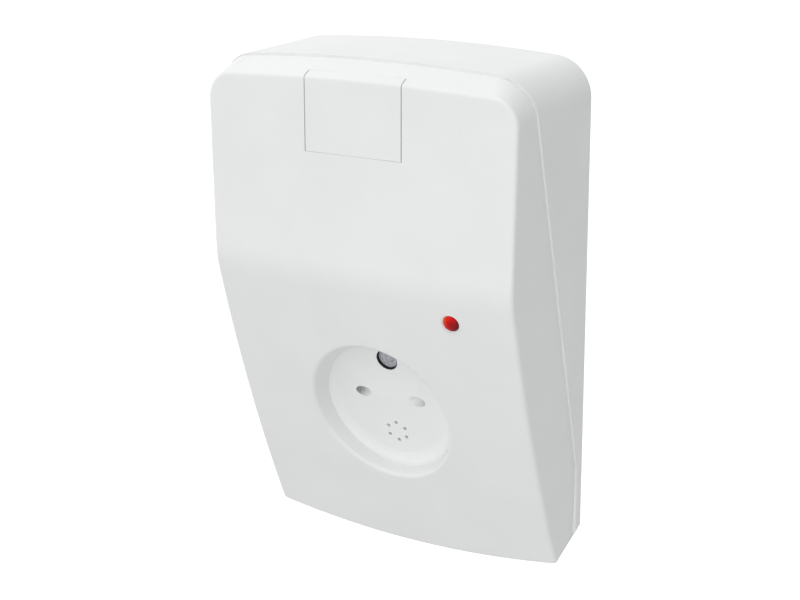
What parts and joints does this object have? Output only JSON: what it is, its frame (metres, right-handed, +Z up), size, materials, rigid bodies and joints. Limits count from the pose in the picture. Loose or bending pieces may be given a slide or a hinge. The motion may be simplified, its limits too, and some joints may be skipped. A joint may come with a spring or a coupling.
{
  "type": "glass break sensor",
  "caption": "Wall-mounted acoustic glass break sensor: tapered white housing with a press-tab cover, a round dish for the microphone and a red lamp.",
  "frame": {"origin": "on the wall plane, on the middle line, at the middle of the height", "axes": "+Z up, +X to the right seen from the front, +Y into the wall, so the front faces -Y"},
  "size_m": [0.072, 0.0334, 0.1114],
  "materials": {
    "housing": "white moulded ABS with a fine satin surface",
    "red_lens": "clear red, glossy",
    "board": "green solder mask on glass laminate",
    "steel": "zinc-plated",
    "rubber": "matt black",
    "metal_can": "drawn and plain",
    "felt": "grey speckled felt",
    "black_plastic": "matt black",
    "terminal_plastic": "satin blue-green",
    "relay_case": "off-white, satin",
    "light_plastic": "off-white, satin",
    "trimmer_case": "blue, satin",
    "ceramic_chips": "tan ceramic"
  },
  "bodies": {
    "root": {"rear_base": "housing", "circuit_board": "board", "board_screws": "steel", "microphone_boot": "rubber", "microphone_capsule": "metal_can", "microphone_felt": "felt", "indicator_led": "red_lens", "sounder": "black_plastic", "terminal_block": "terminal_plastic", "terminal_screws": "steel", "alarm_relay": "relay_case", "tamper_switch": "black_plastic", "sensitivity_trimmer": "trimmer_case", "jumper_header": "black_plastic", "jumper_caps": "black_plastic", "signal_processor": "black_plastic", "filter_capacitors": "metal_can", "clock_crystal": "metal_can", "chip_components": "ceramic_chips"},
    "cover": {"front_cover": "housing", "acoustic_dish": "housing", "dish_screws": "steel", "lamp_lens": "red_lens"},
    "press_tab": {"release_tab": "housing"},
    "plunger": {"tamper_plunger": "light_plastic"},
    "rotor": {"trimmer_rotor": "light_plastic"}
  },
  "joints": [
    {"name": "cover_hinge", "type": "hinge", "parent": "root", "child": "cover", "pos_m": [0, -0.0024, -0.0528], "axis": [1, 0, 0], "range_deg": [0, 45]},
    {"name": "tab_press", "type": "hinge", "parent": "cover", "child": "press_tab", "pos_m": [0, -0.0308, 0.05336], "axis": [1, 0, 0], "range_deg": [0, 6], "stiffness_Nm_per_rad": 0.25},
    {"name": "plunger_slide", "type": "slide", "parent": "root", "child": "plunger", "axis": [0, -0.9537, -0.3007], "range_m": [0, 0.0012]},
    {"name": "rotor_turn", "type": "hinge", "parent": "root", "child": "rotor", "pos_m": [-0.026, -0.01521, -0.01061], "axis": [0, -0.9537, -0.3007], "range_deg": [-130, 130]}
  ],
  "couplings": [
    {"joint": "plunger_slide", "follows": "cover_hinge", "m_per_rad": 0.001527}
  ]
}
